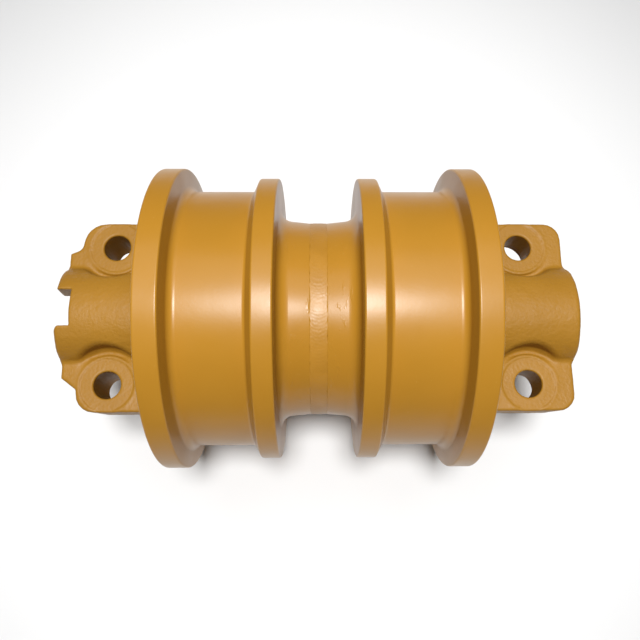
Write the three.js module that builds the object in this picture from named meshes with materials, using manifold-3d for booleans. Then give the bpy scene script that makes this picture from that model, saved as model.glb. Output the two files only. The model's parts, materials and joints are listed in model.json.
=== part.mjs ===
import * as THREE from 'three';
import { mergeVertices } from 'three/addons/utils/BufferGeometryUtils.js';
import Module from 'manifold-3d';

// Double-flange track roller: a welded shell that turns on bushings and floating seals round a
// fixed shaft, with a bolted collar pinned on each end of the shaft. X is the shaft's axis, the
// collars' bolt heads face +Z, and their mounting faces face -Z. Millimetres, origin at the middle.

const wasm = await Module();
wasm.setup();

// Gaps.
const FIT_GAP = 0.3;              // between two pieces that touch
const SEAL_FACE_GAP = 0.2;        // between the two lapped seal faces
const CUT_OVERRUN = 5;            // how far a cutter runs past what it cuts
const SAME_POINT = 1e-4;          // corners closer than this are one

// Segments round a full turn.
const ROUND = 36;
const SMALL_ROUND = 20;
const HOLE_ROUND = 16;
const PIN_ROUND = 12;
const OIL_CROSS_ROUND = 8;
const RING_SECTION_ROUND = 6;
const BLOCK_CURVE_STEPS = 8;
const EAR_CURVE_STEPS = 5;
const WAIST_FILLET_STEPS = 3;
const TREAD_FILLET_STEPS = 2;

// Shell, by radius and by distance from the middle.
const WAIST_R = 87.6;
const INNER_FLANGE_R = 126.7;
const TREAD_R = 115.4;
const OUTER_FLANGE_R = 135;
const SHELL_BORE_R = 53.1;
const INNER_FLANGE_X = [33.6, 49.8];
const TREAD_END_X = 106.9;
const OUTER_FLANGE_X = [114.9, 133.6];
const FLANGE_EDGE = 1.5;          // chamfer on every flange edge
const WAIST_CONE_DEG = 6;         // rise of the waist from the weld to the inner flange
const WAIST_FILLET = 10.5;
const WAIST_FILLET_FOOT_R = 89.3;
const INNER_WALL_FOOT_X = 55.2;   // where the inner flange's sloping outer side meets the tread
const INNER_WALL_DEG = 61;        // lean of that side, from the axis
const TREAD_FILLET = 3;
const RAIL_FILLET = 6;
const RAIL_FACE_DEG = 80;         // lean of the outer flange's inside face, from the axis

// Weld groove between the two halves of the shell.
const WELD_ROOT_R = 74;
const WELD_ROOT_HALF = 1.5;
const WELD_TOP_HALF = 7.2;
const WELD_CROWN = 1;
const WELD_SIDE_GAP = 0.4;        // from the bead to the groove's wall, along X

// Seal seats at the shell's ends.
const SEAL_BORE_R = 64;
const SEAL_FLOOR_X = 116;
const END_RECESS_R = 75;
const END_RECESS_X = 130;

// Bushing, its lining and the dowel that stops it turning.
const BUSHING_INNER_X = 9.5;
const BUSHING_R = SHELL_BORE_R - FIT_GAP;
const BUSHING_FLANGE_R = 62.1;
const BUSHING_FLANGE = 8;
const LINING_R = 43.4;
const LINING_BORE_R = 40.3;
const DOWEL_R = 2.5;
const DOWEL_PITCH_R = 57.6;
const DOWEL_LENGTH = 17;

// Shaft.
const JOURNAL_R = 40;
const JOURNAL_END_X = 118;
const SHAFT_END_R = 33;
const SHAFT_END_X = 213;
const SHAFT_CHAMFER = 1.5;
const THRUST_R = 51.5;
const THRUST_HALF = 9;
const O_RING_X = 152;
const O_RING_GROOVE_HALF = 3;
const O_RING_GROOVE_R = 28.2;
const O_RING_R = 30.8;
const O_RING_SECTION_R = 2.1;
const OIL_DRILL_R = 5;
const OIL_DRILL_END_X = -70;
const OIL_CROSS_X = 62;
const OIL_CROSS_R = 3;
const PLUG_R = 12;
const PLUG_LENGTH = 18;
const PLUG_RECESS = 1.5;
const PLUG_HEX_R = 7;
const PLUG_HEX_SIDES = 6;
const PLUG_HEX_DEPTH = 9;

// Floating seals: two lapped metal rings that meet at SEAL_MEET_X, each in a rubber toric ring.
const SEAL_MEET_X = 130.7;
const SEAL_RING_LENGTH = 11.8;
const SEAL_RING_BORE_R = 47;
const SEAL_LIP_R = 61.5;
const SEAL_LIP = 2.2;
const SEAL_CONE_R = [54.3, 53.2];
const TORIC_R = 59.2;
const TORIC_SECTION_R = 4.1;

// Collar: round inner end, then a block with two bolt ears and a round hump over the shaft.
const COLLAR_BORE_R = SHAFT_END_R + FIT_GAP;
const NOSE_R = 42;
const COLLAR_SEAL_FLOOR_X = 143;
const COLLAR_RIM_R = 73;
const COLLAR_RIM_X = 131.5;
const COLLAR_DISC_R = 78;
const COLLAR_DISC_X = [139, 150];
const BLOCK_X = [144, 226.5];
const EAR_HALF = 88;
const EAR_BACK_HALF = 85.5;       // the ears' sides draw in towards the back
const EAR_FRONT_Z = 18;
const MOUNT_Z = -27;
const HUMP_R = 47;
const HUMP_FILLET = 7;
const BOLT_X = 186;
const BOLT_Y = 64;
const BOLT_HOLE_R = 12.2;
const SPOT_FACE_R = 23.3;
const SPOT_FACE_Z = 17;
const SCOOP_R = 33;
const BACK_RELIEF_R = 18;
const BACK_RELIEF_DEPTH = 16;
const LIP_OPENING_R = 26;
const LIP_SLOT_HALF = 16;
const LIP_REAR_HALF = 40;
const LIP_REAR_Z = -18;
const LOCK_PIN_X = 180;
const LOCK_PIN_R = 6;
const LOCK_PIN_Z = [-45.5, -10.5];

// Outlines of the ears seen along Z, as [x, y, reach of the corner's rounding along its sides].
const PLAIN_EARS = [
  [BLOCK_X[0], -EAR_HALF, 0],
  [BLOCK_X[1], -EAR_HALF, 16],
  [BLOCK_X[1], EAR_HALF, 16],
  [BLOCK_X[0], EAR_HALF, 0],
];
const SCALLOPED_EARS = [
  [BLOCK_X[0], -EAR_HALF, 0],
  [213.5, -EAR_HALF, 18],
  [218.5, -62.5, 4],
  [BLOCK_X[1], -58.2, 1],
  [BLOCK_X[1], 57.8, 1],
  [213.4, 62, 8],
  [212.5, EAR_HALF, 13],
  [BLOCK_X[0], EAR_HALF, 0],
];

const yellow = { color: 0xd79a35, roughness: 0.38, metalness: 0 };
const castYellow = { color: 0xc98f30, roughness: 0.5, metalness: 0 };
const steel = { color: 0x8c8f92, roughness: 0.3, metalness: 1 };
const lappedIron = { color: 0xa3a5a6, roughness: 0.18, metalness: 1 };
const bronze = { color: 0xb07a3c, roughness: 0.35, metalness: 1 };
const rubber = { color: 0x1b1b1c, roughness: 0.8, metalness: 0 };
const blackSteel = { color: 0x2b2b2d, roughness: 0.5, metalness: 1 };

function arc(cx, cy, r, fromDeg, toDeg, steps) {
  return Array.from({ length: steps + 1 }, (_, i) => {
    const angle = THREE.MathUtils.degToRad(fromDeg + ((toDeg - fromDeg) * i) / steps);
    return [cx + r * Math.cos(angle), cy + r * Math.sin(angle)];
  });
}

// A ring or rod round the X axis, from [x, radius] points that run out along its outside and back.
function revolve(profile, segments = ROUND) {
  const onAxis = profile[0][1] === 0;
  const loop = onAxis ? profile : [...profile, profile[0]];
  const points = loop.map(([x, r]) => new THREE.Vector2(r, x));
  return new THREE.LatheGeometry(points, segments).rotateZ(-Math.PI / 2);
}

function rod(radius, fromX, toX, segments) {
  return revolve([[fromX, 0], [fromX, radius], [toX, radius], [toX, 0]], segments);
}

// A rod along Z at a place in the XY plane.
function drill(radius, x, y, fromZ, toZ, segments = HOLE_ROUND) {
  return rod(radius, fromZ, toZ, segments).rotateY(-Math.PI / 2).translate(x, y, 0);
}

function block(x, y, z) {
  const size = [x, y, z].map(([from, to]) => to - from);
  const middle = [x, y, z].map(([from, to]) => (from + to) / 2);
  return new THREE.BoxGeometry(...size).translate(...middle);
}

function toSolid(geometry) {
  const bare = geometry.clone();
  bare.deleteAttribute('normal');
  bare.deleteAttribute('uv');
  const merged = mergeVertices(bare, SAME_POINT);
  return new wasm.Manifold(new wasm.Mesh({
    numProp: 3,
    vertProperties: new Float32Array(merged.attributes.position.array),
    triVerts: new Uint32Array(merged.index.array),
  }));
}

function toGeometry(solid) {
  const mesh = solid.getMesh();
  const geometry = new THREE.BufferGeometry();
  geometry.setAttribute('position', new THREE.BufferAttribute(mesh.vertProperties, 3));
  geometry.setIndex(new THREE.BufferAttribute(mesh.triVerts, 1));
  return geometry;
}

function cut(solid, ...cutters) {
  return cutters.reduce((rest, cutter) => rest.subtract(toSolid(cutter)), solid);
}

function piece(name, geometry, look) {
  const mesh = new THREE.Mesh(geometry, new THREE.MeshStandardMaterial(look));
  mesh.name = name;
  return mesh;
}

// One half of the shell, on the +X side: waist, inner flange, tread, outer flange, seal seat, bore.
function shellHalf() {
  const [innerFrom, innerTo] = INNER_FLANGE_X;
  const [outerFrom, outerTo] = OUTER_FLANGE_X;
  const filletX = innerFrom - WAIST_FILLET;
  const filletR = WAIST_FILLET_FOOT_R + WAIST_FILLET;
  const wallReach = TREAD_FILLET * Math.tan(THREE.MathUtils.degToRad(INNER_WALL_DEG / 2));
  const wallFilletX = INNER_WALL_FOOT_X + wallReach;
  const flangeBackX = SEAL_FLOOR_X - BUSHING_FLANGE - FIT_GAP;
  const profile = [
    [FIT_GAP / 2, WELD_ROOT_R],
    [WELD_ROOT_HALF, WELD_ROOT_R],
    [WELD_TOP_HALF, WAIST_R],
    ...arc(filletX, filletR, WAIST_FILLET, WAIST_CONE_DEG - 90, 0, WAIST_FILLET_STEPS),
    [innerFrom, INNER_FLANGE_R - FLANGE_EDGE],
    [innerFrom + FLANGE_EDGE, INNER_FLANGE_R],
    [innerTo - FLANGE_EDGE, INNER_FLANGE_R],
    [innerTo, INNER_FLANGE_R - FLANGE_EDGE],
    ...arc(wallFilletX, TREAD_R + TREAD_FILLET, TREAD_FILLET, 270 - INNER_WALL_DEG, 270, TREAD_FILLET_STEPS),
    ...arc(TREAD_END_X, TREAD_R + RAIL_FILLET, RAIL_FILLET, -90, RAIL_FACE_DEG - 90, TREAD_FILLET_STEPS),
    [outerFrom, OUTER_FLANGE_R - FLANGE_EDGE],
    [outerFrom + FLANGE_EDGE, OUTER_FLANGE_R],
    [outerTo - FLANGE_EDGE, OUTER_FLANGE_R],
    [outerTo, OUTER_FLANGE_R - FLANGE_EDGE],
    [outerTo, END_RECESS_R],
    [END_RECESS_X, END_RECESS_R],
    [END_RECESS_X, SEAL_BORE_R],
    [SEAL_FLOOR_X, SEAL_BORE_R],
    [SEAL_FLOOR_X, BUSHING_FLANGE_R + FIT_GAP],
    [flangeBackX, BUSHING_FLANGE_R + FIT_GAP],
    [flangeBackX, SHELL_BORE_R],
    [FIT_GAP / 2, SHELL_BORE_R],
  ];
  return toGeometry(cut(toSolid(revolve(profile)), dowel(FIT_GAP)));
}

function weldSeam() {
  const topHalf = WELD_TOP_HALF - WELD_SIDE_GAP;
  const rootHalf = WELD_ROOT_HALF - WELD_SIDE_GAP;
  return revolve([
    [-rootHalf, WELD_ROOT_R + FIT_GAP],
    [-topHalf, WAIST_R + FIT_GAP],
    [0, WAIST_R + WELD_CROWN],
    [topHalf, WAIST_R + FIT_GAP],
    [rootHalf, WELD_ROOT_R + FIT_GAP],
  ]);
}

function bushing() {
  const flangeBackX = SEAL_FLOOR_X - BUSHING_FLANGE;
  const body = revolve([
    [BUSHING_INNER_X, BUSHING_R],
    [flangeBackX, BUSHING_R],
    [flangeBackX, BUSHING_FLANGE_R],
    [SEAL_FLOOR_X, BUSHING_FLANGE_R],
    [SEAL_FLOOR_X, LINING_R + FIT_GAP],
    [BUSHING_INNER_X, LINING_R + FIT_GAP],
  ]);
  return toGeometry(cut(toSolid(body), dowel(FIT_GAP)));
}

function bushingLining() {
  return revolve([
    [BUSHING_INNER_X, LINING_R],
    [SEAL_FLOOR_X, LINING_R],
    [SEAL_FLOOR_X, LINING_BORE_R],
    [BUSHING_INNER_X, LINING_BORE_R],
  ]);
}

// The dowel through the bushing's flange into the shell, or with a gap, the hole for it.
function dowel(gap) {
  const outerX = gap > 0 ? SEAL_FLOOR_X + CUT_OVERRUN : SEAL_FLOOR_X - FIT_GAP;
  const innerX = SEAL_FLOOR_X - FIT_GAP - DOWEL_LENGTH - gap;
  return rod(DOWEL_R + gap, innerX, outerX, PIN_ROUND).translate(0, DOWEL_PITCH_R, 0);
}

function shaft() {
  const right = [
    [THRUST_HALF, THRUST_R],
    [THRUST_HALF, JOURNAL_R],
    [JOURNAL_END_X, JOURNAL_R],
    [JOURNAL_END_X, SHAFT_END_R],
    [O_RING_X - O_RING_GROOVE_HALF, SHAFT_END_R],
    [O_RING_X - O_RING_GROOVE_HALF, O_RING_GROOVE_R],
    [O_RING_X + O_RING_GROOVE_HALF, O_RING_GROOVE_R],
    [O_RING_X + O_RING_GROOVE_HALF, SHAFT_END_R],
    [SHAFT_END_X - SHAFT_CHAMFER, SHAFT_END_R],
    [SHAFT_END_X, SHAFT_END_R - SHAFT_CHAMFER],
    [SHAFT_END_X, 0],
  ];
  const left = right.map(([x, r]) => [-x, r]).reverse();
  const plugSeatX = SHAFT_END_X - PLUG_RECESS - PLUG_LENGTH - FIT_GAP;
  const overEnd = SHAFT_END_X + CUT_OVERRUN;
  const crossHoles = [-OIL_CROSS_X, OIL_CROSS_X].map(
    (x) => drill(OIL_CROSS_R, x, 0, 0, JOURNAL_R + CUT_OVERRUN, OIL_CROSS_ROUND),
  );
  return toGeometry(cut(
    toSolid(revolve([...left, ...right])),
    rod(OIL_DRILL_R, OIL_DRILL_END_X, overEnd, PIN_ROUND),
    rod(PLUG_R + FIT_GAP, plugSeatX, overEnd, SMALL_ROUND),
    ...crossHoles,
    lockPin(FIT_GAP),
    lockPin(FIT_GAP).rotateZ(Math.PI),
  ));
}

function oilPlug() {
  const outerX = SHAFT_END_X - PLUG_RECESS;
  const body = toSolid(rod(PLUG_R, outerX - PLUG_LENGTH, outerX, SMALL_ROUND));
  const socket = rod(PLUG_HEX_R, outerX - PLUG_HEX_DEPTH, outerX + CUT_OVERRUN, PLUG_HEX_SIDES);
  return toGeometry(cut(body, socket));
}

// The pin through the back of the hump into the shaft, or with a gap, the hole for it.
function lockPin(gap) {
  const [backZ, frontZ] = LOCK_PIN_Z;
  const outerZ = gap > 0 ? backZ - 2 * CUT_OVERRUN : backZ;
  return drill(LOCK_PIN_R + gap, LOCK_PIN_X, 0, outerZ, frontZ + gap, PIN_ROUND);
}

// A lapped metal seal ring. outward is 1 for the collar's ring and -1 for the shell's.
function sealRing(outward) {
  const faceX = SEAL_MEET_X + (outward * SEAL_FACE_GAP) / 2;
  const profile = [
    [faceX + outward * SEAL_RING_LENGTH, SEAL_RING_BORE_R],
    [faceX + outward * SEAL_RING_LENGTH, SEAL_CONE_R[1]],
    [faceX + outward * SEAL_LIP, SEAL_CONE_R[0]],
    [faceX + outward * SEAL_LIP, SEAL_LIP_R],
    [faceX, SEAL_LIP_R],
    [faceX, SEAL_RING_BORE_R],
  ];
  return revolve(outward < 0 ? profile : profile.reverse(), SMALL_ROUND);
}

// The rubber ring that carries a seal ring, just behind its lip.
function toricRing(outward) {
  const fromFace = SEAL_LIP + FIT_GAP + TORIC_SECTION_R + SEAL_FACE_GAP / 2;
  return rubberRing(TORIC_R, TORIC_SECTION_R, SEAL_MEET_X + outward * fromFace);
}

function rubberRing(radius, sectionR, x) {
  return new THREE.TorusGeometry(radius, sectionR, RING_SECTION_ROUND, SMALL_ROUND)
    .rotateY(Math.PI / 2)
    .translate(x, 0, 0);
}

// The collar's round inner end: nose, seal seat, rim and disc.
function collarInnerEnd() {
  const [discFrom, discTo] = COLLAR_DISC_X;
  return revolve([
    [JOURNAL_END_X + FIT_GAP, COLLAR_BORE_R],
    [JOURNAL_END_X + FIT_GAP, NOSE_R],
    [COLLAR_SEAL_FLOOR_X, NOSE_R],
    [COLLAR_SEAL_FLOOR_X, SEAL_BORE_R],
    [COLLAR_RIM_X, SEAL_BORE_R],
    [COLLAR_RIM_X, COLLAR_RIM_R],
    [discFrom, COLLAR_RIM_R],
    [discFrom, COLLAR_DISC_R],
    [discTo, COLLAR_DISC_R],
    [discTo, COLLAR_BORE_R],
  ]);
}

// The block seen along X: flat ears, a round hump in front, and the same round behind.
function blockEndView() {
  const filletZ = EAR_FRONT_Z + HUMP_FILLET;
  const filletY = Math.sqrt((HUMP_R + HUMP_FILLET) ** 2 - filletZ ** 2);
  const meetAngle = Math.atan2(filletZ, filletY);
  const backAngle = Math.asin(MOUNT_Z / HUMP_R);
  const shape = new THREE.Shape();
  shape.moveTo(EAR_BACK_HALF, MOUNT_Z);
  shape.lineTo(EAR_HALF, EAR_FRONT_Z);
  shape.absarc(filletY, filletZ, HUMP_FILLET, -Math.PI / 2, meetAngle - Math.PI, true);
  shape.absarc(0, 0, HUMP_R, meetAngle, Math.PI - meetAngle, false);
  shape.absarc(-filletY, filletZ, HUMP_FILLET, -meetAngle, -Math.PI / 2, true);
  shape.lineTo(-EAR_HALF, EAR_FRONT_Z);
  shape.lineTo(-EAR_BACK_HALF, MOUNT_Z);
  shape.absarc(0, 0, HUMP_R, Math.PI - backAngle, 2 * Math.PI + backAngle, false);
  const depth = BLOCK_X[1] - BLOCK_X[0];
  const lieAlongX = new THREE.Matrix4().makeBasis(
    new THREE.Vector3(0, 1, 0),
    new THREE.Vector3(0, 0, 1),
    new THREE.Vector3(1, 0, 0),
  );
  const options = { depth, bevelEnabled: false, curveSegments: BLOCK_CURVE_STEPS };
  return new THREE.ExtrudeGeometry(shape, options)
    .applyMatrix4(lieAlongX)
    .translate(BLOCK_X[0], 0, 0);
}

// Draws a closed outline through corners, each rounded as far as its reach.
function roundedShape(corners) {
  const shape = new THREE.Shape();
  corners.forEach(([x, y, reach], i) => {
    const corner = new THREE.Vector2(x, y);
    const toward = ([otherX, otherY]) =>
      new THREE.Vector2(otherX, otherY).sub(corner).setLength(reach).add(corner);
    const start = toward(corners.at(i - 1));
    const end = toward(corners[(i + 1) % corners.length]);
    if (i === 0) shape.moveTo(start.x, start.y);
    else shape.lineTo(start.x, start.y);
    if (reach > 0) shape.quadraticCurveTo(x, y, end.x, end.y);
  });
  return shape;
}

// The ears' outline as a solid that is deeper than the block.
function earPrism(corners) {
  const depth = 2 * (HUMP_R + CUT_OVERRUN);
  const options = { depth, bevelEnabled: false, curveSegments: EAR_CURVE_STEPS };
  return new THREE.ExtrudeGeometry(roundedShape(corners), options).translate(0, 0, -depth / 2);
}

function boltCutters(y) {
  const above = HUMP_R + CUT_OVERRUN;
  return [
    drill(SCOOP_R, BOLT_X, y, EAR_FRONT_Z, above, SMALL_ROUND),
    drill(SPOT_FACE_R, BOLT_X, y, SPOT_FACE_Z, above, SMALL_ROUND),
    drill(BOLT_HOLE_R, BOLT_X, y, MOUNT_Z - CUT_OVERRUN, above, SMALL_ROUND),
  ];
}

// A collar on the +X side, before the features that only one of the two has.
function collar(ears) {
  const [, outerX] = BLOCK_X;
  const overEnd = outerX + CUT_OVERRUN;
  const body = toSolid(blockEndView())
    .intersect(toSolid(earPrism(ears)))
    .add(toSolid(collarInnerEnd()));
  return cut(
    body,
    ...boltCutters(BOLT_Y),
    ...boltCutters(-BOLT_Y),
    rod(COLLAR_BORE_R, JOURNAL_END_X - CUT_OVERRUN, SHAFT_END_X + FIT_GAP, ROUND),
    rod(LIP_OPENING_R, SHAFT_END_X - CUT_OVERRUN, overEnd, ROUND),
    lockPin(FIT_GAP),
  );
}

// Plain ears, thinned round each bolt hole from the back.
function plainCollar() {
  const reliefEnds = [MOUNT_Z - CUT_OVERRUN, MOUNT_Z + BACK_RELIEF_DEPTH];
  const reliefs = [-BOLT_Y, BOLT_Y].map(
    (y) => drill(BACK_RELIEF_R, BOLT_X, y, ...reliefEnds, SMALL_ROUND),
  );
  return toGeometry(cut(collar(PLAIN_EARS), ...reliefs));
}

// Scalloped ears, and an end lip slotted in front and open behind.
function slottedCollar() {
  const lip = [SHAFT_END_X + FIT_GAP, BLOCK_X[1] + CUT_OVERRUN];
  const behind = [-HUMP_R - CUT_OVERRUN, LIP_REAR_Z];
  return toGeometry(cut(
    collar(SCALLOPED_EARS),
    block(lip, [-LIP_SLOT_HALF, LIP_SLOT_HALF], [0, HUMP_R + CUT_OVERRUN]),
    block(lip, [-LIP_REAR_HALF, LIP_REAR_HALF], behind),
  ));
}

// The pieces that both ends have, built on the +X side.
function roundPieces(side) {
  return [
    piece(`shell_${side}`, shellHalf(), yellow),
    piece(`bushing_${side}`, bushing(), steel),
    piece(`bushing_lining_${side}`, bushingLining(), bronze),
    piece(`bushing_dowel_${side}`, dowel(0), blackSteel),
    piece(`rotating_seal_ring_${side}`, sealRing(-1), lappedIron),
    piece(`rotating_toric_ring_${side}`, toricRing(-1), rubber),
    piece(`fixed_seal_ring_${side}`, sealRing(1), lappedIron),
    piece(`fixed_toric_ring_${side}`, toricRing(1), rubber),
    piece(`shaft_o_ring_${side}`, rubberRing(O_RING_R, O_RING_SECTION_R, O_RING_X), rubber),
    piece(`lock_pin_${side}`, lockPin(0), blackSteel),
  ];
}

const rightEnd = new THREE.Group();
rightEnd.add(...roundPieces('right'), piece('collar_right', plainCollar(), castYellow));

const leftEnd = new THREE.Group();
leftEnd.rotation.z = Math.PI;
leftEnd.add(...roundPieces('left'), piece('collar_left', slottedCollar(), castYellow));

const trackRoller = new THREE.Group();
trackRoller.add(
  rightEnd,
  leftEnd,
  piece('weld_seam', weldSeam(), yellow),
  piece('shaft', shaft(), steel),
  piece('oil_plug', oilPlug(), blackSteel),
);

export default trackRoller;
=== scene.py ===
import math

import bpy
import numpy as np
from mathutils import Matrix, Vector, noise
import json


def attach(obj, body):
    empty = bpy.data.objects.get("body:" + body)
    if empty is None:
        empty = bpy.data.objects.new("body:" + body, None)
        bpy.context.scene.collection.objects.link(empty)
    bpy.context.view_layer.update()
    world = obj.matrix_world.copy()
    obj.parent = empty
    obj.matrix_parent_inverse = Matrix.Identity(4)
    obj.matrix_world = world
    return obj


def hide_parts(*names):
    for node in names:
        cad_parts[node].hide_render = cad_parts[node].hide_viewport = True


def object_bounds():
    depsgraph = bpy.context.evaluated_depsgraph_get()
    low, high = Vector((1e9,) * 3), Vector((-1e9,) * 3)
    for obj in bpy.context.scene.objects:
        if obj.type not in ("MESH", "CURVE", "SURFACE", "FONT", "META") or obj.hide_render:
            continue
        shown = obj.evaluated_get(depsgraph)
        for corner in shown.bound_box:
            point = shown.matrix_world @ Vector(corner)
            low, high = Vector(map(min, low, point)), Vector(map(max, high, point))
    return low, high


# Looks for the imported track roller. Shapes are worked out in millimetres in the CAD's frame: X along
# the shaft, +Z the side of the bolt heads. The main sizes are the CAD's. Edges, fillets, spot faces,
# the weld's crown and the cast details are drawn finer here and differ from it a little.

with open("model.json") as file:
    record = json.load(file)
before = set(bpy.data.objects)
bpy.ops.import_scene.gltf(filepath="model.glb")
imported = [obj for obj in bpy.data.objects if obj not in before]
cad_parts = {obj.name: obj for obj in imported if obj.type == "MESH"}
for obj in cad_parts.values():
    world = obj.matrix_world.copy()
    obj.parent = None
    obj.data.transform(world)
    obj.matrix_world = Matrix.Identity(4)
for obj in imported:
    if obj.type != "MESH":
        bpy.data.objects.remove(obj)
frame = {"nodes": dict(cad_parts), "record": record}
cad_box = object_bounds()

MM = 0.001
FLOOR_Z = cad_box[0][2]

# The shell's section, by radius and by distance along the shaft.
WAIST_R = 87.6
WAIST_FOOT_R = 90.4
TREAD_R = 115.4
INNER_FLANGE_R = 126.7
OUTER_FLANGE_R = 135
BUSH_SEAT_R = 53.1
BUSH_FLANGE_SEAT_R = 62.4
SEAL_SEAT_R = 64
END_RECESS_R = 75
HALF_GAP = 0.15
WELD_GROOVE_R = 74
WELD_GROOVE_X = 1.5
WAIST_EDGE_X = 7.2
WAIST_END_X = 33.6
WAIST_RISE = math.tan(math.radians(6))
INNER_FLANGE_X = 49.8
TREAD_START_X = 55.2
TREAD_END_X = 111.9
OUTER_FLANGE_X = 114.9
SHELL_END_X = 133.6
END_RECESS_X = 130
SEAL_FLOOR_X = 116
BUSH_FLANGE_X = 107.7
TURN_SEGMENTS = 288

# The weld bead. Each noise has a height in millimetres and a fineness round the turn.
WELD_HALF = 7.3
WELD_CROWN = 0.34
WELD_SINK = 0.07
WELD_ROOT_HALF = 1.1
WELD_ROOT_R = 74.4
WELD_AROUND = 900
WELD_ACROSS = 45
EDGE_WAVER, EDGE_WAVER_FINENESS = 0.55, 24
BEAD_SHIFT, BEAD_SHIFT_FINENESS = 0.25, 9
RIPPLE_PITCH = 2.9
RIPPLE_BOW = 3.4
RIPPLE_SWAY, RIPPLE_SWAY_FINENESS = 1.6, 11
RIPPLE_LEAST, RIPPLE_MORE, RIPPLE_FINENESS = 0.02, 0.05, 7
GRAIN, GRAIN_FINENESS, GRAIN_ACROSS = 0.06, 45, 5
BEADLET, BEADLET_FINENESS, BEADLET_ACROSS = 0.35, 50, 3
BEADLET_AT = 0.9
BEADLET_SPREAD = 0.08

# The collars as cast.
EAR_FRONT_Z = 18
MOUNT_Z = -27
EAR_ROOT_X = 138
EAR_END_X = 226.5
EAR_HALF_Y = 88
EAR_DRAFT = 0.00065
EAR_EDGE = 2.5
HUMP_R = 47
HUMP_ROOT_X = 141
HUMP_EDGE = 4
HUMP_FILLET = 3.5
END_LEAN = 0.12
END_LEAN_MOST = 2.5
SCOOP_R = 33
SCOOP_DEPTH = 3
SCOOP_EDGE = 3
VALLEY_R = 31
VALLEY_DEPTH = 2.4
VALLEY_RISE = 0.3
VALLEY_RISE_Y = 38
VALLEY_EDGE = 2
PAD_R = 26.6
PAD_EDGE = 1.2
PAD_FILLET = 0.8
DISC_R, DISC_MIDDLE_X, DISC_HALF = 78, 144.5, 5.5
DISC_EDGE = 2
DISC_FILLET = 4
RIM_R, RIM_MIDDLE_X, RIM_HALF = 73, 136.5, 5
RIM_EDGE = 1
NOSE_R, NOSE_MIDDLE_X, NOSE_HALF = 42, 134.3, 16
NOSE_EDGE = 1.5

# The collars' machined faces and holes.
BOLT_X = 186
BOLT_Y = 64
BOLT_HOLE_R = 12.2
BOLT_HOLE_EDGE = 0.9
SPOT_FACE_R = 23.5
SPOT_FACE_DEPTH = 0.6
SPOT_FACE_EDGE = 0.4
COLLAR_SEAL_END_X = 143
COLLAR_SEAL_CORNER = 1.5
COLLAR_SEAL_EDGE = 1
SHAFT_BORE_R = 33.3
SHAFT_BORE_END_X = 213.3
SHAFT_BORE_EDGE = 0.6
LIP_OPENING_R = 26
LIP_OPENING_EDGE = 1.2
LOCK_PIN_X = 180
LOCK_PIN_HOLE_R = 6.3
LOCK_PIN_HOLE_TOP_Z = -20
LOCK_PIN_HOLE_EDGE = 0.6
RELIEF_R = 18
RELIEF_TOP_Z = -11
RELIEF_EDGE = 0.8
SLOT_FLOOR_X = 213.6
SLOT_HALF = 16
SLOT_EDGE = 1.8
SLOT_FLARE = 0.12
SLOT_FLARE_X = 222
REAR_SLOT_HALF = 40
REAR_SLOT_Z = -18
REAR_SLOT_EDGE = 2

# The casting's grain: lumps of two sizes, kept off the faces that are machined.
LUMP_HEIGHT, LUMP_SIZE = 0.15, 9
FINE_LUMP_HEIGHT, FINE_LUMP_SIZE = 0.10, 3.5
SMOOTH_ROUND_BOLT_R = 24.5
SMOOTH_BORE_R = 34
SMOOTH_MOUNT_DEPTH = 0.5
SMOOTH_BEFORE_X = 152
CAST_STEP = 1.2
CAST_LOW = (116, -90, -81)
CAST_HIGH = (229, 90, 81)

# How a cast surface's points settle: the probe is in millimetres, the largest move in grid steps.
SETTLE_ROUNDS = 4
SETTLE_PROBE = 0.02
SETTLE_MOST = 0.4
SETTLE_SLOPE_LEAST = 1e-3

# The floor, the sky and the two lights. Places and sizes are in metres.
FLOOR_SIZE = 8
FLOOR_TONES = (0.71, 0.72)
FLOOR_ROUGHNESS = 0.8
SKY_STRENGTH = 0.12
KEY_PLACE = (0, -0.11, 3.0)
KEY_RADIUS = 0.42
KEY_CONE = math.radians(31)
KEY_BLEND = 0.4
KEY_WATTS = 482
FILL_PLACE = (0, 1.25, 2.7)
FILL_SIZE = (2.6, 1.5)
FILL_WATTS = 21


# ---------------------------------------------------------------- meshes


def make_piece(name, points_mm, faces, material, body, slot, *nodes):
    """A smooth-shaded piece that stands for CAD nodes and rides on their body."""
    mesh = bpy.data.meshes.new(name)
    mesh.from_pydata((np.asarray(points_mm, float) * MM).tolist(), [], faces)
    mesh.validate()
    mesh.shade_smooth()
    mesh.materials.append(material)
    piece = bpy.data.objects.new(name, mesh)
    bpy.context.scene.collection.objects.link(piece)
    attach(piece, body)
    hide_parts(*nodes)
    return piece


def fillet_corners(corners, steps=6, guard=0.4):
    """The closed outline through (x, y, radius) corners, each turned into an arc with a point close on
    either side, so that flat stretches next to it shade flat."""
    points = []
    for i, (x, y, radius) in enumerate(corners):
        here = np.array([x, y], float)
        before = np.array(corners[i - 1][:2], float) - here
        after = np.array(corners[(i + 1) % len(corners)][:2], float) - here
        u = before / np.linalg.norm(before)
        v = after / np.linalg.norm(after)
        half = 0.5 * math.acos(np.clip(u @ v, -1, 1))
        if radius == 0:
            points += [here + guard * u, here, here + guard * v]
            continue
        reach = radius / math.tan(half)
        centre = here + (u + v) / np.linalg.norm(u + v) * radius / math.sin(half)
        start = here + reach * u - centre
        end = here + reach * v - centre
        sweep = math.pi - 2 * half
        points.append(here + (reach + guard) * u)
        for k in range(steps + 1):
            t = k / steps
            mixed = start * math.sin((1 - t) * sweep) + end * math.sin(t * sweep)
            points.append(centre + mixed / math.sin(sweep))
        points.append(here + (reach + guard) * v)
    return np.array(points)


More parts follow.
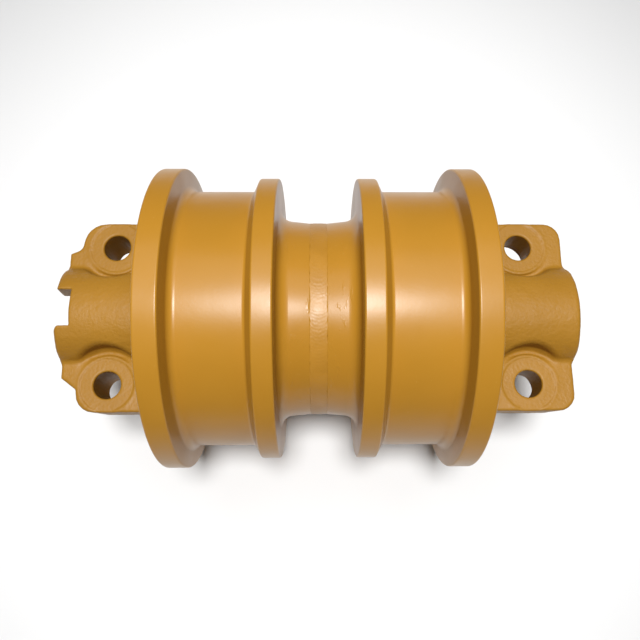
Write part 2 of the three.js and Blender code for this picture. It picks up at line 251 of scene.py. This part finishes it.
def revolve(outline, segments=TURN_SEGMENTS):
    """Points and quads of a closed (x, radius) outline turned round the X axis."""
    angles = np.arange(segments) * 2 * math.pi / segments
    x = np.tile(outline[:, 0], segments)
    radius = np.tile(outline[:, 1], segments)
    angle = np.repeat(angles, len(outline))
    points = np.stack([x, radius * np.sin(angle), radius * np.cos(angle)], axis=1)
    count = len(outline)
    faces = []
    for i in range(segments):
        here = i * count
        there = (i + 1) % segments * count
        for j in range(count):
            k = (j + 1) % count
            faces.append((here + j, here + k, there + k, there + j))
    return points, faces


def mirror_x(points, faces):
    return points * (-1, 1, 1), [face[::-1] for face in faces]


def half_turn_z(points):
    return points * (-1, -1, 1)


# ---------------------------------------------------------------- solids as distance fields


def round_join(a, b, radius):
    inner = np.hypot(np.maximum(radius - a, 0), np.maximum(radius - b, 0))
    return np.maximum(radius, np.minimum(a, b)) - inner


def round_both(a, b, radius):
    return -round_join(-a, -b, radius)


def round_cut(a, b, radius):
    return round_both(a, -b, radius)


def outline_distance(x, y, corners):
    """Signed distance from points to a closed outline, negative inside."""
    best = np.full(x.shape, np.inf)
    inside = np.zeros(x.shape, bool)
    for i in range(len(corners)):
        ax, ay = corners[i - 1]
        bx, by = corners[i]
        ex, ey = bx - ax, by - ay
        share = np.clip(((x - ax) * ex + (y - ay) * ey) / (ex * ex + ey * ey), 0, 1)
        best = np.minimum(best, np.hypot(x - ax - share * ex, y - ay - share * ey))
        if ay != by:
            crosses = ((ay > y) != (by > y)) & (x < ax + (y - ay) * ex / ey)
            inside ^= crosses
    return np.where(inside, -best, best)


def crossing_points(values, axes, index, count):
    """For each crossed grid cell, the mean of the places where the surface cuts its edges."""
    total = np.zeros((count, 3))
    hits = np.zeros(count)
    step = axes[0][1] - axes[0][0]
    for axis in range(3):
        low = [slice(None)] * 3
        high = [slice(None)] * 3
        low[axis] = slice(None, -1)
        high[axis] = slice(1, None)
        a, b = values[tuple(low)], values[tuple(high)]
        edges = np.argwhere((a < 0) != (b < 0))
        va, vb = a[tuple(edges.T)], b[tuple(edges.T)]
        place = np.stack([axes[k][edges[:, k]] for k in range(3)], axis=1)
        place[:, axis] += step * va / (va - vb)
        others = [k for k in range(3) if k != axis]
        for du in (0, 1):
            for dv in (0, 1):
                cell = edges.copy()
                cell[:, others[0]] -= du
                cell[:, others[1]] -= dv
                valid = (cell >= 0).all(axis=1) & (cell < index.shape).all(axis=1)
                found = index[tuple(cell[valid].T)]
                np.add.at(total, found, place[valid])
                np.add.at(hits, found, 1)
    return total / hits[:, None]


def settle(points, field, step):
    """Moves points onto the surface field = 0, and gives the surface's normals there."""
    for _ in range(SETTLE_ROUNDS):
        value = field(*points.T)
        slope = np.stack(
            [field(*(points + SETTLE_PROBE * axis).T) - value for axis in np.eye(3)], axis=1
        )
        slope = slope / SETTLE_PROBE
        length = np.maximum(np.linalg.norm(slope, axis=1, keepdims=True), SETTLE_SLOPE_LEAST)
        most = SETTLE_MOST * step
        move = np.clip(value[:, None] / length, -most, most)
        points = points - move * slope / length
    return points, slope / length


def cast_surface(field, low, high, step=CAST_STEP):
    """Points, quads and normals of the surface where a distance field is 0."""
    axes = [np.arange(a, b + step, step) for a, b in zip(low, high)]
    values = field(*np.meshgrid(*axes, indexing="ij"))
    inside = values < 0
    corner = [inside[i:, j:, k:] for i in (0, 1) for j in (0, 1) for k in (0, 1)]
    size = [n - 1 for n in inside.shape]
    corner = [c[: size[0], : size[1], : size[2]] for c in corner]
    crossed = np.logical_or.reduce(corner) & ~np.logical_and.reduce(corner)
    index = np.full(crossed.shape, -1)
    count = int(crossed.sum())
    index[crossed] = np.arange(count)
    points = crossing_points(values, axes, index, count)
    faces = []
    for axis in range(3):
        low_side = [slice(1, -1)] * 3
        high_side = [slice(1, -1)] * 3
        low_side[axis] = slice(None, -1)
        high_side[axis] = slice(1, None)
        a, b = inside[tuple(low_side)], inside[tuple(high_side)]
        edges = np.argwhere(a != b)
        leaving = a[tuple(edges.T)]
        u, v = (axis + 1) % 3, (axis + 2) % 3
        cell = edges + 1
        cell[:, axis] -= 1
        ring = []
        for du, dv in ((1, 1), (0, 1), (0, 0), (1, 0)):
            near = cell.copy()
            near[:, u] -= du
            near[:, v] -= dv
            ring.append(index[tuple(near.T)])
        quads = np.stack(ring, axis=1)
        quads[~leaving] = quads[~leaving][:, ::-1]
        faces += quads.tolist()
    points, normals = settle(points, field, step)
    return points, faces, normals


# ---------------------------------------------------------------- materials


class Nodes:
    """Short calls for building a material's node tree."""

    def __init__(self, name):
        self.material = bpy.data.materials.new(name)
        self.material.use_nodes = True
        self.tree = self.material.node_tree
        self.shader = self.tree.nodes["Principled BSDF"]
        self.place = self.tree.nodes.new("ShaderNodeTexCoord").outputs["Object"]

    def node(self, kind, settings=None, **inputs):
        node = self.tree.nodes.new(kind)
        for key, value in (settings or {}).items():
            setattr(node, key, value)
        for key, value in inputs.items():
            self.feed(node.inputs[key.replace("_", " ")], value)
        return node

    def feed(self, socket, value):
        if isinstance(value, bpy.types.NodeSocket):
            self.tree.links.new(value, socket)
        else:
            socket.default_value = value

    def noise(self, scale, detail=2.0, roughness=0.5, place=None):
        node = self.node(
            "ShaderNodeTexNoise", Vector=place or self.place, Scale=scale, Detail=detail,
            Roughness=roughness,
        )
        return node.outputs["Fac"]

    def ramp(self, value, *stops):
        node = self.node("ShaderNodeValToRGB", Fac=value)
        elements = node.color_ramp.elements
        while len(elements) < len(stops):
            elements.new(0.5)
        for element, (position, colour) in zip(elements, stops):
            element.position = position
            element.color = colour if len(colour) == 4 else (*colour, 1)
        return node.outputs["Color"]

    def spread(self, value, low, high, start=0.3, end=0.75):
        """A grey that goes from low to high while the value goes from start to end."""
        return self.ramp(value, (start, grey(low)), (end, grey(high)))

    def stretched(self, *scale):
        """The object's coordinates scaled along X, Y and Z, so that noise on them is drawn out."""
        return self.node("ShaderNodeMapping", Vector=self.place, Scale=scale).outputs["Vector"]

    def math(self, operation, a, b=0.0):
        node = self.node("ShaderNodeMath", {"operation": operation})
        self.feed(node.inputs[0], a)
        self.feed(node.inputs[1], b)
        return node.outputs[0]

    def mix(self, share, a, b, blend="MIX"):
        node = self.node("ShaderNodeMix", {"data_type": "RGBA", "blend_type": blend})
        self.feed(node.inputs[0], share)
        self.feed(node.inputs[6], a)
        self.feed(node.inputs[7], b)
        return node.outputs[2]

    def bump(self, height, distance_mm, strength=1.0, under=None):
        node = self.node(
            "ShaderNodeBump", Height=height, Distance=distance_mm * MM, Strength=strength
        )
        if under is not None:
            self.feed(node.inputs["Normal"], under)
        return node.outputs["Normal"]

    def finish(self, **sockets):
        for key, value in sockets.items():
            self.feed(self.shader.inputs[key.replace("_", " ")], value)
        return self.material


def grey(value):
    return (value, value, value, 1)


PAINT_LIGHT = (0.392, 0.185, 0.017, 1)
PAINT_DARK = (0.358, 0.167, 0.014, 1)
PAINT_DUST = (0.460, 0.265, 0.070, 1)
CAST_LIGHT = (0.320, 0.152, 0.013, 1)
CAST_DARK = (0.282, 0.132, 0.010, 1)
# Painted shade: the colour that the collar enamel darkens to in the grain's hollows.
CAST_PIT_SHADE = (0.220, 0.095, 0.008, 1)
STEEL_DARK = (0.42, 0.42, 0.43, 1)
STEEL_LIGHT = (0.54, 0.54, 0.55, 1)
IRON_DARK = (0.50, 0.50, 0.51, 1)
IRON_LIGHT = (0.60, 0.60, 0.60, 1)
BRONZE_DARK = (0.42, 0.21, 0.06, 1)
BRONZE_LIGHT = (0.56, 0.31, 0.10, 1)
RUBBER_DARK = (0.012, 0.012, 0.013, 1)
RUBBER_LIGHT = (0.024, 0.024, 0.026, 1)
BLACK_DARK = (0.020, 0.020, 0.022, 1)
BLACK_LIGHT = (0.050, 0.048, 0.047, 1)

# Paint runs stay this close to the roller's middle, in metres.
RUNS_HALF_X = 0.027


def shell_paint():
    """Smooth enamel over turned steel: faint turning lines, orange peel and a little dust."""
    n = Nodes("shell_enamel")
    tone = n.mix(n.spread(n.noise(9, 4), 0, 1, 0.35, 0.7), PAINT_DARK, PAINT_LIGHT)
    specks = n.spread(n.noise(420, 2), 0, 1, 0.70, 0.78)
    colour = n.mix(n.math("MULTIPLY", specks, 0.25), tone, PAINT_DUST)
    rough = n.spread(n.noise(30, 5), 0.28, 0.36)
    lines = n.noise(900, 3, 0.6, n.stretched(1, 0, 0))
    peel = n.noise(520, 2, 0.45)
    waves = n.noise(60, 2, 0.5)
    normal = n.bump(lines, 0.02, 0.5)
    normal = n.bump(peel, 0.035, 0.6, normal)
    normal = n.bump(waves, 0.12, 0.5, normal)
    normal = n.bump(waist_runs(n), 0.20, 0.8, normal)
    return n.finish(Base_Color=colour, Roughness=rough, Specular_IOR_Level=0.34, Normal=normal)


def waist_runs(n):
    """Height of the few paint runs and weld spatter that the waist has and the treads don't."""
    x = n.node("ShaderNodeSeparateXYZ", Vector=n.place).outputs["X"]
    on_waist = n.math("LESS_THAN", n.math("ABSOLUTE", x), RUNS_HALF_X)
    runs = n.spread(n.noise(210, 3, 0.5, n.stretched(1, 0.3, 0.3)), 0, 1, 0.62, 0.72)
    return n.math("MULTIPLY", runs, on_waist)


def weld_paint():
    """The same enamel over a weld bead."""
    n = Nodes("weld_enamel")
    tone = n.mix(n.spread(n.noise(60, 4), 0, 1, 0.35, 0.7), PAINT_DARK, PAINT_LIGHT)
    rough = n.spread(n.noise(80, 4), 0.36, 0.48)
    normal = n.bump(n.noise(260, 4, 0.6), 0.10, 0.6)
    return n.finish(Base_Color=tone, Roughness=rough, Normal=normal)


def collar_paint():
    """Enamel over a sand casting: pebbled, with painted shade darkening the hollows of the grain."""
    n = Nodes("collar_enamel")
    tone = n.mix(n.spread(n.noise(14, 5), 0, 1, 0.3, 0.7), CAST_DARK, CAST_LIGHT)
    grain = n.noise(390, 3, 0.55)
    # Painted shade: where the grain's bump sinks lowest, the colour is darkened towards the pit
    # colour.
    pit_shade = n.spread(grain, 1, 0, 0.30, 0.42)
    colour = n.mix(n.math("MULTIPLY", pit_shade, 0.2), tone, CAST_PIT_SHADE)
    rough = n.spread(n.noise(70, 5), 0.44, 0.58)
    normal = n.bump(grain, 0.45, 0.9)
    normal = n.bump(n.noise(110, 3, 0.5), 0.35, 0.5, normal)
    return n.finish(Base_Color=colour, Roughness=rough, Specular_IOR_Level=0.3, Normal=normal)


def turned_metal(name, dark, light, blotch_scale, mark_scale, rough):
    """Bare metal with fine marks round the shaft's axis."""
    n = Nodes(name)
    marks = n.noise(mark_scale, 3, 0.6, n.stretched(1, 0.02, 0.02))
    colour = n.mix(n.noise(blotch_scale, 4), dark, light)
    normal = n.bump(marks, 0.01, 0.5)
    return n.finish(
        Base_Color=colour, Metallic=1.0, Roughness=n.spread(marks, *rough), Normal=normal
    )


def lapped_iron():
    n = Nodes("lapped_iron")
    colour = n.mix(n.noise(40, 4), IRON_DARK, IRON_LIGHT)
    rough = n.spread(n.noise(200, 4), 0.14, 0.26)
    return n.finish(Base_Color=colour, Metallic=1.0, Roughness=rough)


def rubber():
    n = Nodes("seal_rubber")
    colour = n.mix(n.noise(50, 4), RUBBER_DARK, RUBBER_LIGHT)
    rough = n.spread(n.noise(150, 4), 0.62, 0.8)
    normal = n.bump(n.noise(900, 3), 0.02, 0.5)
    return n.finish(Base_Color=colour, Roughness=rough, Normal=normal)


def black_steel():
    n = Nodes("black_oxide_steel")
    colour = n.mix(n.noise(90, 4), BLACK_DARK, BLACK_LIGHT)
    rough = n.spread(n.noise(240, 4), 0.34, 0.52)
    normal = n.bump(n.noise(700, 3), 0.02, 0.5)
    return n.finish(Base_Color=colour, Metallic=1.0, Roughness=rough, Normal=normal)



# ---------------------------------------------------------------- shell


def shell_outline():
    """The right half of the shell in section, as (x, radius, edge radius) corners."""
    return [
        (HALF_GAP, BUSH_SEAT_R, 0),
        (HALF_GAP, WELD_GROOVE_R, 0),
        (WELD_GROOVE_X, WELD_GROOVE_R, 0.5),
        (WAIST_EDGE_X, WAIST_R, 0.4),
        (WAIST_END_X, WAIST_FOOT_R, 10.5),
        (WAIST_END_X, INNER_FLANGE_R, 1.6),
        (INNER_FLANGE_X, INNER_FLANGE_R, 1.6),
        (TREAD_START_X, TREAD_R, 3),
        (TREAD_END_X, TREAD_R, 6),
        (OUTER_FLANGE_X, OUTER_FLANGE_R, 1.6),
        (SHELL_END_X, OUTER_FLANGE_R, 1.8),
        (SHELL_END_X, END_RECESS_R, 1.0),
        (END_RECESS_X, END_RECESS_R, 0.5),
        (END_RECESS_X, SEAL_SEAT_R, 0.8),
        (SEAL_FLOOR_X, SEAL_SEAT_R, 0.5),
        (SEAL_FLOOR_X, BUSH_FLANGE_SEAT_R, 0.5),
        (BUSH_FLANGE_X, BUSH_FLANGE_SEAT_R, 0.4),
        (BUSH_FLANGE_X, BUSH_SEAT_R, 0.5),
    ]


def build_shell(paint):
    outline = fillet_corners(shell_outline())
    points, faces = revolve(outline)
    make_piece("shell_half_right", points, faces, paint, "roller", "shell_paint", "shell_right")
    points, faces = mirror_x(points, faces)
    make_piece("shell_half_left", points, faces, paint, "roller", "shell_paint", "shell_left")


def weld_height(turn, along, t):
    """How far the bead stands above the waist: a low crown, ripples, and small beads at its edges."""
    crown = WELD_CROWN * math.sqrt(1 - t * t) - WELD_SINK
    sway = RIPPLE_SWAY * noise.noise(turn * RIPPLE_SWAY_FINENESS)
    depth = RIPPLE_LEAST + RIPPLE_MORE * max(noise.noise(turn * RIPPLE_FINENESS), 0)
    phase = (along + sway - RIPPLE_BOW * t * t) * 2 * math.pi / RIPPLE_PITCH
    ripple = depth * math.sin(phase) * (1 - t**4)
    grain = GRAIN * noise.noise(turn * GRAIN_FINENESS + Vector((0, 0, GRAIN_ACROSS * t))) * (1 - t**6)
    lump = max(noise.noise(turn * BEADLET_FINENESS + Vector((0, 0, BEADLET_ACROSS * t))), 0)
    near_edge = math.exp(-(((abs(t) - BEADLET_AT) / BEADLET_SPREAD) ** 2))
    edge = BEADLET * lump * near_edge * (1 - t**8)
    return crown + ripple + grain + edge


def build_weld(paint):
    """A nearly flush bead with wavering edges, over the joint between the shell's halves."""
    points = []
    for i in range(WELD_AROUND):
        angle = i * 2 * math.pi / WELD_AROUND
        turn = Vector((math.cos(angle), math.sin(angle), 0))
        half = WELD_HALF + EDGE_WAVER * noise.noise(turn * EDGE_WAVER_FINENESS)
        shift = BEAD_SHIFT * noise.noise(turn * BEAD_SHIFT_FINENESS)
        for j in range(WELD_ACROSS):
            t = 2 * j / (WELD_ACROSS - 1) - 1
            x = half * t + shift
            waist = WAIST_R + WAIST_RISE * max(abs(x) - WAIST_EDGE_X, 0)
            radius = waist + weld_height(turn, angle * WAIST_R, t)
            points.append((x, radius * math.sin(angle), radius * math.cos(angle)))
        for x in (WELD_ROOT_HALF, -WELD_ROOT_HALF):
            points.append((x, WELD_ROOT_R * math.sin(angle), WELD_ROOT_R * math.cos(angle)))
    count = WELD_ACROSS + 2
    faces = []
    for i in range(WELD_AROUND):
        here = i * count
        there = (i + 1) % WELD_AROUND * count
        for j in range(count):
            k = (j + 1) % count
            faces.append((here + k, there + k, there + j, here + j))
    make_piece("weld_bead", points, faces, paint, "roller", "shell_paint", "weld_seam")


# ---------------------------------------------------------------- collars


PLAIN_EARS = [
    (EAR_ROOT_X, -EAR_HALF_Y, 0),
    (EAR_END_X, -EAR_HALF_Y, 15),
    (EAR_END_X, EAR_HALF_Y, 15),
    (EAR_ROOT_X, EAR_HALF_Y, 0),
]
SCALLOPED_EARS = [
    (EAR_ROOT_X, -EAR_HALF_Y, 0),
    (213.5, -EAR_HALF_Y, 19),
    (218.5, -62.5, 7),
    (228.6, -58.2, 0.8),
    (227, 57.8, 0.8),
    (213.4, 68, 4),
    (212.5, EAR_HALF_Y, 17),
    (EAR_ROOT_X, EAR_HALF_Y, 0),
]


def collar_casting(x, y, z, ears):
    """The collar as cast: ears, hump, round inner disc, and a scooped hollow round each bolt pad."""
    radius = np.hypot(y, z)
    from_bolt = np.hypot(x - BOLT_X, np.abs(y) - BOLT_Y)
    outline = outline_distance(x, y * (1 + EAR_DRAFT * (EAR_FRONT_Z - z)), ears)
    ear_middle = (EAR_FRONT_Z + MOUNT_Z) / 2
    ear_half = (EAR_FRONT_Z - MOUNT_Z) / 2
    ear = round_both(outline, np.abs(z - ear_middle) - ear_half, EAR_EDGE)
    end_x = EAR_END_X + np.clip(END_LEAN * (HUMP_R - z), 0, END_LEAN_MOST)
    hump = round_both(radius - HUMP_R, x - end_x, HUMP_EDGE)
    hump = np.maximum(hump, HUMP_ROOT_X - x)
    scoop = round_both(from_bolt - SCOOP_R, EAR_FRONT_Z - SCOOP_DEPTH - z, SCOOP_EDGE)
    hump = round_cut(hump, scoop, SCOOP_EDGE)
    body = round_join(hump, ear, HUMP_FILLET)
    valley = EAR_FRONT_Z - VALLEY_DEPTH + VALLEY_RISE * np.maximum(np.abs(y) - VALLEY_RISE_Y, 0)
    hollow = round_both(from_bolt - VALLEY_R, valley - z, VALLEY_EDGE)
    body = round_cut(body, hollow, VALLEY_EDGE)
    pad = round_both(from_bolt - PAD_R, np.abs(z - ear_middle) - ear_half, PAD_EDGE)
    pad = round_both(pad, outline, EAR_EDGE)
    body = round_join(body, pad, PAD_FILLET)
    disc = round_both(radius - DISC_R, np.abs(x - DISC_MIDDLE_X) - DISC_HALF, DISC_EDGE)
    return round_join(body, disc, DISC_FILLET)


def collar_field(ears, extra_cuts):
    def field(x, y, z):
        radius = np.hypot(y, z)
        from_bolt = np.hypot(x - BOLT_X, np.abs(y) - BOLT_Y)
        body = collar_casting(x, y, z, ears)
        rim = round_both(radius - RIM_R, np.abs(x - RIM_MIDDLE_X) - RIM_HALF, RIM_EDGE)
        body = round_join(body, rim, RIM_EDGE)
        seat = round_both(radius - SEAL_SEAT_R, x - COLLAR_SEAL_END_X, COLLAR_SEAL_CORNER)
        body = round_cut(body, seat, COLLAR_SEAL_EDGE)
        nose = round_both(radius - NOSE_R, np.abs(x - NOSE_MIDDLE_X) - NOSE_HALF, NOSE_EDGE)
        body = round_join(body, nose, NOSE_EDGE)
        spot_face = np.maximum(from_bolt - SPOT_FACE_R, EAR_FRONT_Z - SPOT_FACE_DEPTH - z)
        body = round_cut(body, spot_face, SPOT_FACE_EDGE)
        body = round_cut(body, from_bolt - BOLT_HOLE_R, BOLT_HOLE_EDGE)
        bore = np.maximum(radius - SHAFT_BORE_R, x - SHAFT_BORE_END_X)
        body = round_cut(body, bore, SHAFT_BORE_EDGE)
        body = round_cut(body, radius - LIP_OPENING_R, LIP_OPENING_EDGE)
        from_pin = np.hypot(x - LOCK_PIN_X, y)
        pin_hole = np.maximum(from_pin - LOCK_PIN_HOLE_R, z - LOCK_PIN_HOLE_TOP_Z)
        body = round_cut(body, pin_hole, LOCK_PIN_HOLE_EDGE)
        for cutter, edge in extra_cuts(x, y, z, from_bolt):
            body = round_cut(body, cutter, edge)
        return body

    return field


def back_reliefs(x, y, z, from_bolt):
    return [(np.maximum(from_bolt - RELIEF_R, z - RELIEF_TOP_Z), RELIEF_EDGE)]


def lip_slots(x, y, z, from_bolt):
    floor = SLOT_FLOOR_X - x
    flare = SLOT_FLARE * np.maximum(x - SLOT_FLARE_X, 0) ** 2 * (y > 0)
    front = np.maximum(np.maximum(np.abs(y) - SLOT_HALF - flare, -z), floor)
    rear = np.maximum(np.abs(y) - REAR_SLOT_HALF, z - REAR_SLOT_Z)
    rear = round_both(rear, floor, REAR_SLOT_EDGE)
    return [(front, SLOT_EDGE), (rear, REAR_SLOT_EDGE)]


def roughen(points, normals):
    """Low lumps of a sand casting, left off the machined faces and holes."""
    x, y, z = points.T
    from_bolt = np.hypot(x - BOLT_X, np.abs(y) - BOLT_Y)
    machined = (from_bolt < SMOOTH_ROUND_BOLT_R) | (np.hypot(y, z) < SMOOTH_BORE_R)
    machined |= (z < MOUNT_Z + SMOOTH_MOUNT_DEPTH) | (x < SMOOTH_BEFORE_X)
    lumps = []
    for point in points:
        place = Vector(point)
        lump = LUMP_HEIGHT * noise.noise(place / LUMP_SIZE)
        fine_lump = FINE_LUMP_HEIGHT * noise.noise(place / FINE_LUMP_SIZE)
        lumps.append(lump + fine_lump)
    return points + normals * (np.array(lumps) * ~machined)[:, None]


def build_collar(name, node, ears, extra_cuts, paint, turned):
    field = collar_field(fillet_corners(ears, steps=5, guard=0.1), extra_cuts)
    points, faces, normals = cast_surface(field, CAST_LOW, CAST_HIGH)
    points = roughen(points, normals)
    if turned:
        points = half_turn_z(points)
    make_piece(name, points, faces, paint, "shaft_assembly", "collar_paint", node)


# ---------------------------------------------------------------- stage


def build_stage():
    bpy.ops.mesh.primitive_plane_add(size=FLOOR_SIZE, location=(0, 0, FLOOR_Z))
    floor = bpy.context.object
    floor.name = "floor"
    n = Nodes("pale_floor")
    colour = n.mix(n.noise(3, 3), *[grey(tone) for tone in FLOOR_TONES])
    floor.data.materials.append(n.finish(Base_Color=colour, Roughness=FLOOR_ROUGHNESS))
    world = bpy.data.worlds.new("studio")
    bpy.context.scene.world = world
    world.use_nodes = True
    sky = world.node_tree.nodes["Background"]
    sky.inputs["Color"].default_value = grey(1)
    sky.inputs["Strength"].default_value = SKY_STRENGTH


def add_key():
    """A round soft light whose cone keeps its pool of light near the roller."""
    light = bpy.data.lights.new("key", "SPOT")
    light.shadow_soft_size = KEY_RADIUS
    light.spot_size = KEY_CONE
    light.spot_blend = KEY_BLEND
    light.energy = KEY_WATTS
    aim_lamp(light, KEY_PLACE)


def aim_lamp(light, place):
    lamp = bpy.data.objects.new(light.name, light)
    lamp.location = place
    lamp.rotation_euler = (-Vector(place)).to_track_quat("-Z", "Y").to_euler()
    bpy.context.scene.collection.objects.link(lamp)


def add_fill():
    """A wide soft light from the far side."""
    light = bpy.data.lights.new("fill", "AREA")
    light.shape = "RECTANGLE"
    light.size, light.size_y = FILL_SIZE
    light.energy = FILL_WATTS
    aim_lamp(light, FILL_PLACE)


# The camera stands over the roller's middle, leaning back from +Z towards -Y.
CAMERA_DISTANCE = 0.5595
CAMERA_LEAN = math.radians(14.8)
CAMERA_PITCH = math.radians(-1.9)
CAMERA_YAW = math.radians(-0.79)
CAMERA_ROLL = math.radians(-0.11)
CAMERA_LENS_MM = 33.68
CAMERA_SHIFT = (-0.0108, 0.0298)


def build_camera():
    camera = bpy.data.cameras.new("camera")
    camera.lens = CAMERA_LENS_MM
    camera.shift_x, camera.shift_y = CAMERA_SHIFT
    camera.clip_start = 0.01
    eye = bpy.data.objects.new("camera", camera)
    turn = Matrix.Rotation(CAMERA_LEAN, 4, "X")
    place = turn @ Matrix.Translation((0, 0, CAMERA_DISTANCE))
    aim = Matrix.Rotation(CAMERA_YAW, 4, "Y") @ Matrix.Rotation(CAMERA_PITCH, 4, "X")
    eye.matrix_world = place @ aim @ Matrix.Rotation(CAMERA_ROLL, 4, "Z")
    bpy.context.scene.collection.objects.link(eye)
    bpy.context.scene.camera = eye


# ---------------------------------------------------------------- the scene


def dress_cad_nodes():
    """CAD nodes whose shape is right keep it and get their material."""
    looks = {
        "steel": turned_metal("ground_steel", STEEL_DARK, STEEL_LIGHT, 25, 1600, (0.22, 0.38)),
        "lapped_iron": lapped_iron(),
        "bronze": turned_metal("lining_bronze", BRONZE_DARK, BRONZE_LIGHT, 35, 1300, (0.28, 0.42)),
        "rubber": rubber(),
        "black_steel": black_steel(),
    }
    for part in frame["record"]["subparts"]:
        look = looks.get(part["material_slot"])
        if look is None:
            continue
        node = frame["nodes"][part["node"]]
        node.data.materials.clear()
        node.data.materials.append(look)


enamel = shell_paint()
cast_enamel = collar_paint()
build_camera()
build_stage()
add_key()
add_fill()
build_shell(enamel)
build_weld(weld_paint())
build_collar("collar_casting_right", "collar_right", PLAIN_EARS, back_reliefs, cast_enamel, False)
build_collar("collar_casting_left", "collar_left", SCALLOPED_EARS, lip_slots, cast_enamel, True)
dress_cad_nodes()
bpy.context.scene.view_settings.view_transform = "Standard"
